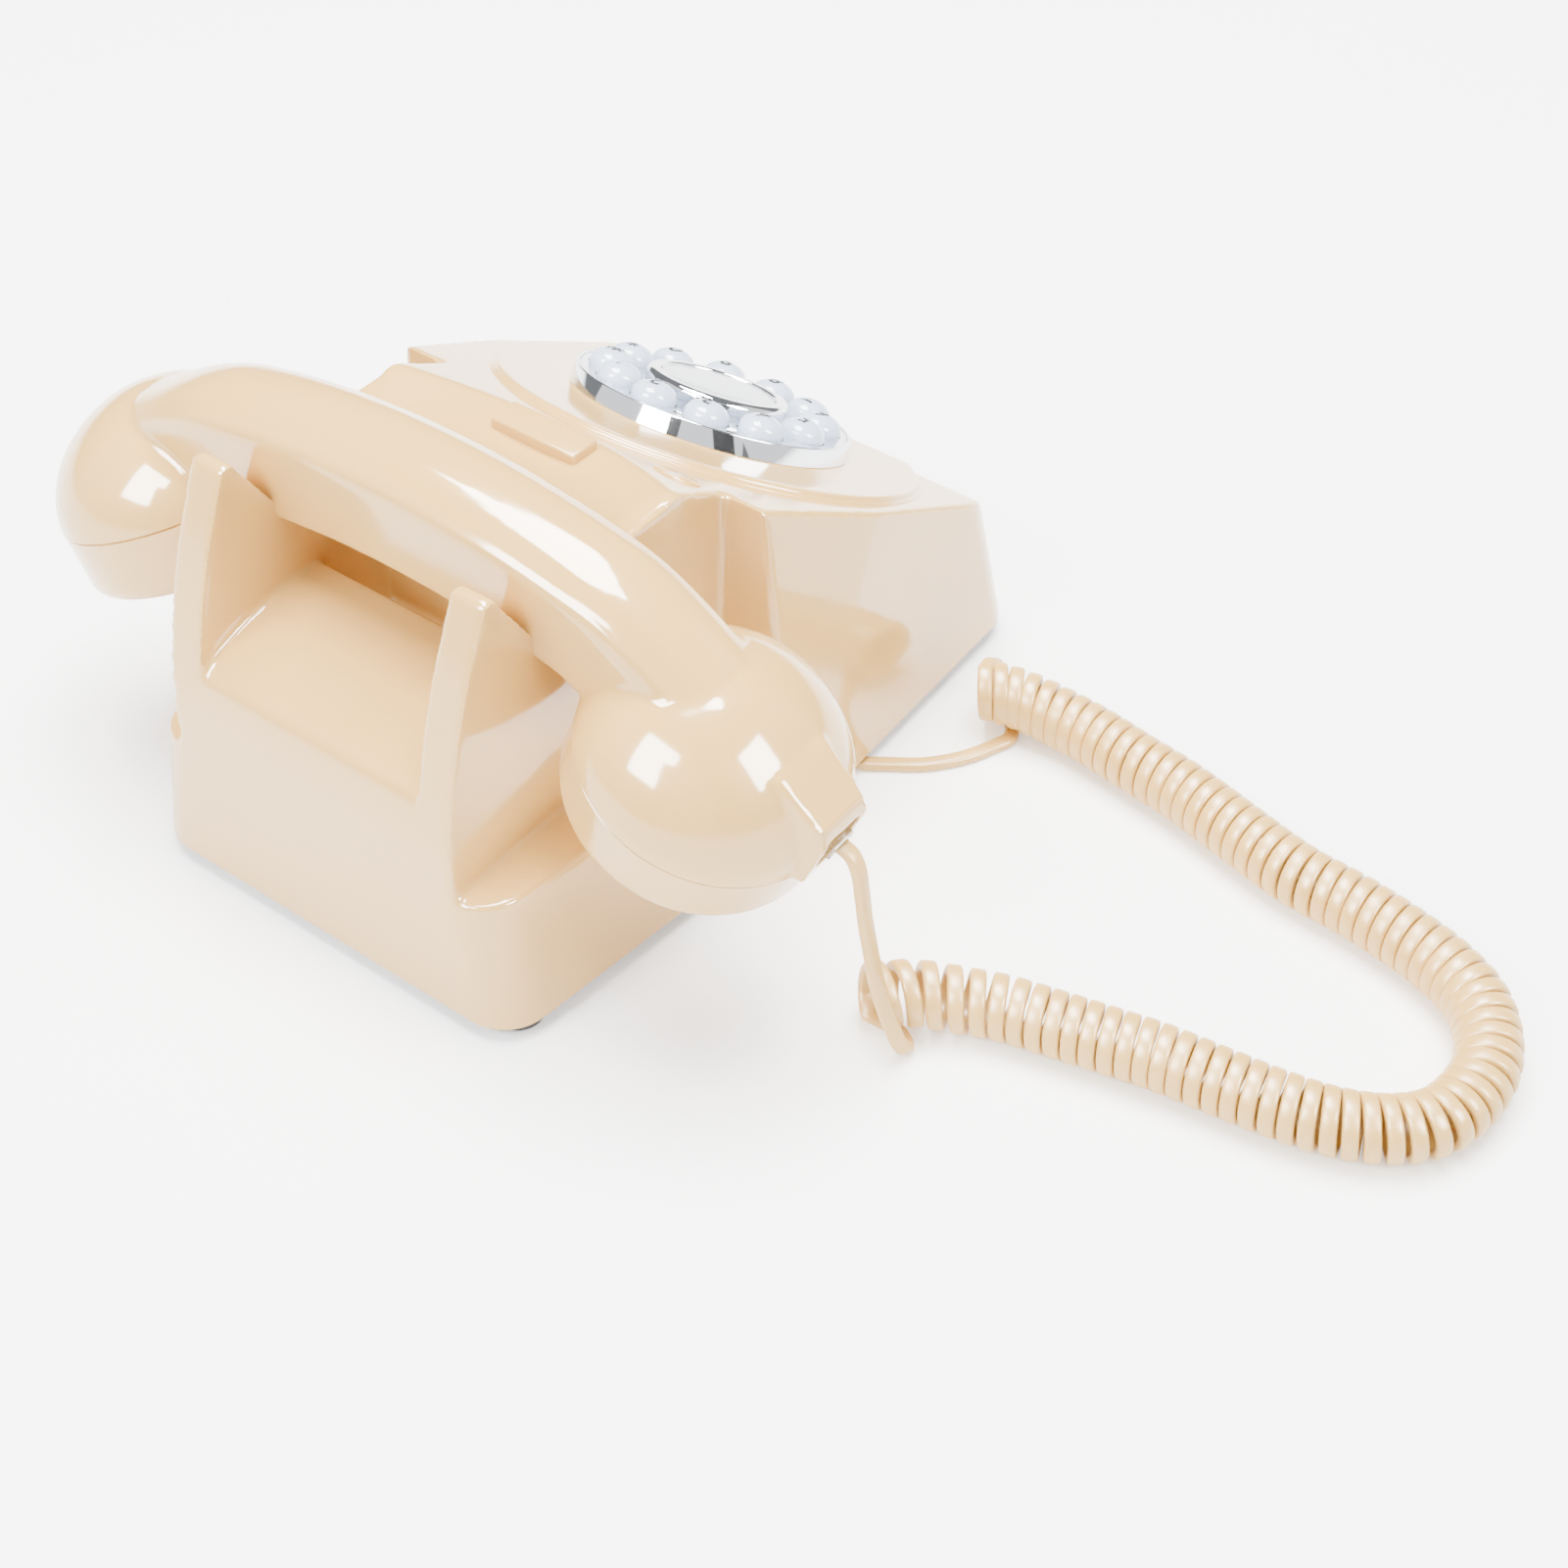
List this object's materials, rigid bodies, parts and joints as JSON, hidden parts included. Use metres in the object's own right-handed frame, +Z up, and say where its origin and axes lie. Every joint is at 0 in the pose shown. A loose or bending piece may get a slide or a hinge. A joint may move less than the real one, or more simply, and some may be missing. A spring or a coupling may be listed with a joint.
{
  "type": "corded telephone",
  "caption": "Push-button desk telephone with a moulded case, a round chrome key dial, a handset resting in a cradle and a coiled cord.",
  "frame": {"origin": "on the floor, under the middle of the telephone without its cord", "axes": "+X to the right of someone dialling, -Y towards them, +Z up; the handset lies along X"},
  "size_m": [0.3554, 0.196, 0.1181],
  "materials": {
    "case_plastic": "glossy ivory moulding",
    "handset_plastic": "glossy ivory moulding",
    "floor_plastic": "dark textured moulding",
    "foot_rubber": "black rubber",
    "screw_steel": "zinc-plated steel",
    "dial_chrome": "bright chrome plating",
    "label_card": "plain printed card",
    "clear_lens": "clear lens",
    "mat_rubber": "silicone keypad mat",
    "circuit_board": "green laminate",
    "black_plastic": "black moulding",
    "ballast_steel": "raw steel",
    "copper_coil": "wound copper",
    "gong_brass": "spun brass",
    "white_plastic": "white moulding",
    "capsule_metal": "pressed can",
    "key_plastic": "glossy white moulding",
    "clear_plug": "clear moulding",
    "cord_jacket": "soft ivory cord jacket"
  },
  "bodies": {
    "base": {"case_shell": "case_plastic", "floor_plate": "floor_plastic", "rubber_feet": "foot_rubber", "case_screws": "screw_steel", "blanking_bar": "case_plastic", "indicator_lens": "case_plastic", "dial_bezel": "dial_chrome", "dial_plate": "dial_chrome", "hub_ring": "dial_chrome", "label_card": "label_card", "label_lens": "clear_lens", "key_mat": "mat_rubber", "key_board": "circuit_board", "main_board": "circuit_board", "line_jack": "black_plastic", "cord_jack": "black_plastic", "ballast_plate": "ballast_steel", "ringer_frame": "screw_steel", "ringer_coil": "copper_coil", "gong_left": "gong_brass", "gong_right": "gong_brass", "hook_switch": "black_plastic", "volume_switch": "black_plastic", "base_plug": "clear_plug", "handset_tail": "cord_jacket", "coiled_cord": "cord_jacket", "base_tail": "cord_jacket"},
    "handset": {"handset_shell": "handset_plastic", "ear_cap": "handset_plastic", "mouth_cap": "handset_plastic", "receiver_capsule": "capsule_metal", "microphone_capsule": "black_plastic", "handset_jack": "black_plastic", "handset_weight": "ballast_steel", "handset_plug": "clear_plug"},
    "plunger_left": {"plunger_left": "white_plastic"},
    "plunger_right": {"plunger_right": "white_plastic"},
    "hook_lever": {"hook_lever": "screw_steel"},
    "clapper": {"clapper": "screw_steel"},
    "volume_knob": {"volume_knob": "white_plastic"},
    "key_1": {"key_1": "key_plastic"},
    "key_2": {"key_2": "key_plastic"},
    "key_3": {"key_3": "key_plastic"},
    "key_4": {"key_4": "key_plastic"},
    "key_5": {"key_5": "key_plastic"},
    "key_6": {"key_6": "key_plastic"},
    "key_7": {"key_7": "key_plastic"},
    "key_8": {"key_8": "key_plastic"},
    "key_9": {"key_9": "key_plastic"},
    "key_0": {"key_0": "key_plastic"},
    "key_star": {"key_star": "key_plastic"},
    "key_hash": {"key_hash": "key_plastic"}
  },
  "joints": [
    {"name": "handset_lift", "type": "slide", "parent": "base", "child": "handset", "axis": [0, 0, 1], "range_m": [0, 0.08]},
    {"name": "plunger_left_rise", "type": "slide", "parent": "base", "child": "plunger_left", "axis": [0, 0, 1], "range_m": [0, 0.004]},
    {"name": "plunger_right_rise", "type": "slide", "parent": "base", "child": "plunger_right", "axis": [0, 0, 1], "range_m": [0, 0.004]},
    {"name": "hook_lever_turn", "type": "hinge", "parent": "base", "child": "hook_lever", "pos_m": [0, 0.024, 0.0325], "axis": [1, 0, 0], "range_deg": [0, 8.2]},
    {"name": "clapper_swing", "type": "hinge", "parent": "base", "child": "clapper", "pos_m": [0, 0.038, 0.0225], "axis": [0, 0, 1], "range_deg": [-6, 6]},
    {"name": "volume_slide", "type": "slide", "parent": "base", "child": "volume_knob", "axis": [1, 0, 0], "range_m": [0, 0.004]},
    {"name": "key_1_press", "type": "slide", "parent": "base", "child": "key_1", "axis": [0, 0.4848, -0.8746], "range_m": [0, 0.002], "stiffness_N_per_m": 300},
    {"name": "key_2_press", "type": "slide", "parent": "base", "child": "key_2", "axis": [0, 0.4848, -0.8746], "range_m": [0, 0.002], "stiffness_N_per_m": 300},
    {"name": "key_3_press", "type": "slide", "parent": "base", "child": "key_3", "axis": [0, 0.4848, -0.8746], "range_m": [0, 0.002], "stiffness_N_per_m": 300},
    {"name": "key_4_press", "type": "slide", "parent": "base", "child": "key_4", "axis": [0, 0.4848, -0.8746], "range_m": [0, 0.002], "stiffness_N_per_m": 300},
    {"name": "key_5_press", "type": "slide", "parent": "base", "child": "key_5", "axis": [0, 0.4848, -0.8746], "range_m": [0, 0.002], "stiffness_N_per_m": 300},
    {"name": "key_6_press", "type": "slide", "parent": "base", "child": "key_6", "axis": [0, 0.4848, -0.8746], "range_m": [0, 0.002], "stiffness_N_per_m": 300},
    {"name": "key_7_press", "type": "slide", "parent": "base", "child": "key_7", "axis": [0, 0.4848, -0.8746], "range_m": [0, 0.002], "stiffness_N_per_m": 300},
    {"name": "key_8_press", "type": "slide", "parent": "base", "child": "key_8", "axis": [0, 0.4848, -0.8746], "range_m": [0, 0.002], "stiffness_N_per_m": 300},
    {"name": "key_9_press", "type": "slide", "parent": "base", "child": "key_9", "axis": [0, 0.4848, -0.8746], "range_m": [0, 0.002], "stiffness_N_per_m": 300},
    {"name": "key_0_press", "type": "slide", "parent": "base", "child": "key_0", "axis": [0, 0.4848, -0.8746], "range_m": [0, 0.002], "stiffness_N_per_m": 300},
    {"name": "key_star_press", "type": "slide", "parent": "base", "child": "key_star", "axis": [0, 0.4848, -0.8746], "range_m": [0, 0.002], "stiffness_N_per_m": 300},
    {"name": "key_hash_press", "type": "slide", "parent": "base", "child": "key_hash", "axis": [0, 0.4848, -0.8746], "range_m": [0, 0.002], "stiffness_N_per_m": 300}
  ],
  "couplings": [
    {"joint": "plunger_left_rise", "follows": "handset_lift", "ratio": 0.05},
    {"joint": "plunger_right_rise", "follows": "handset_lift", "ratio": 0.05},
    {"joint": "hook_lever_turn", "follows": "handset_lift", "rad_per_m": 1.774}
  ]
}
